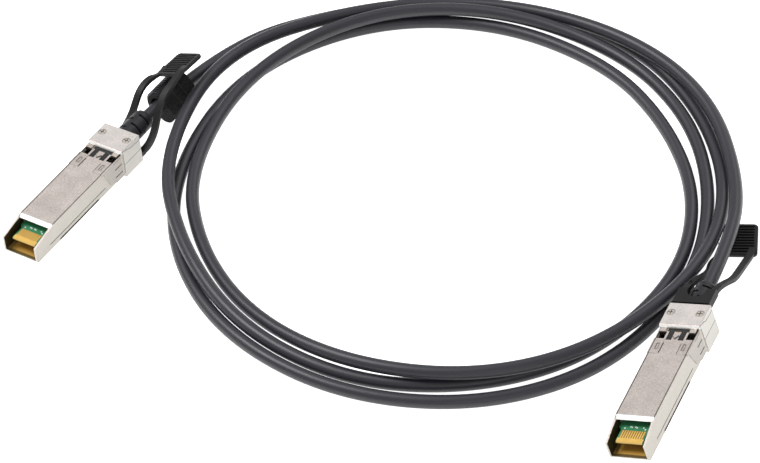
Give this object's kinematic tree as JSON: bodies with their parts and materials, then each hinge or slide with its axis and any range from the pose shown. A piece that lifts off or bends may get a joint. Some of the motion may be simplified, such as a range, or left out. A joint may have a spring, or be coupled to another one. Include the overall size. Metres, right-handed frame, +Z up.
{
  "type": "direct attach copper cable",
  "caption": "Passive twinax network cable, coiled, with a small metal pluggable connector at each end; each has a spring-returned latch release worked by a flexible ribbed pull tab",
  "frame": {"origin": "middle of the footprint of the two plugs, on the floor they rest on", "axes": "+Z up; +X from the left plug to the right plug; +Y from the plugs' noses to their leads"},
  "size_m": [0.2346, 0.1933, 0.0189],
  "materials": {
    "shell": "fine-grained satin plating on a die casting",
    "collar": "plain sheet metal",
    "board": "green solder resist",
    "gold": "gold-plated fingers",
    "chip": "black moulded parts",
    "wire": "foil and clear insulation",
    "ferrule": "plain crimp ring",
    "boot": "dark grey soft moulding",
    "latch": "black moulding",
    "spring": "spring wire",
    "screw": "bright plated screws",
    "tab": "dark grey soft moulding",
    "jacket": "matte extruded jacket",
    "tie": "black hook-and-loop strip"
  },
  "bodies": {
    "lead": {"left_base_housing": "shell", "left_top_cover": "shell", "left_emi_collar": "collar", "left_paddle_card": "board", "left_contact_pads": "gold", "left_card_parts": "chip", "left_wire_pairs": "wire", "left_crimp_ferrule": "ferrule", "left_strain_relief": "boot", "left_latch_springs": "spring", "left_hood_screws": "screw", "right_base_housing": "shell", "right_top_cover": "shell", "right_emi_collar": "collar", "right_paddle_card": "board", "right_contact_pads": "gold", "right_card_parts": "chip", "right_wire_pairs": "wire", "right_crimp_ferrule": "ferrule", "right_strain_relief": "boot", "right_latch_springs": "spring", "right_hood_screws": "screw", "cable": "jacket", "cable_tie": "tie"},
    "left_latch": {"left_latch_slider": "latch", "left_pull_tab": "tab"},
    "right_latch": {"right_latch_slider": "latch", "right_pull_tab": "tab"}
  },
  "joints": [
    {"name": "left_release", "type": "slide", "parent": "lead", "child": "left_latch", "axis": [0, 1, 0], "range_m": [0, 0.002], "stiffness_N_per_m": 300, "deforming": ["left_latch_springs"]},
    {"name": "right_release", "type": "slide", "parent": "lead", "child": "right_latch", "axis": [-0.1444, 0.989, 0.0322], "range_m": [0, 0.002], "stiffness_N_per_m": 300, "deforming": ["right_latch_springs"]}
  ]
}
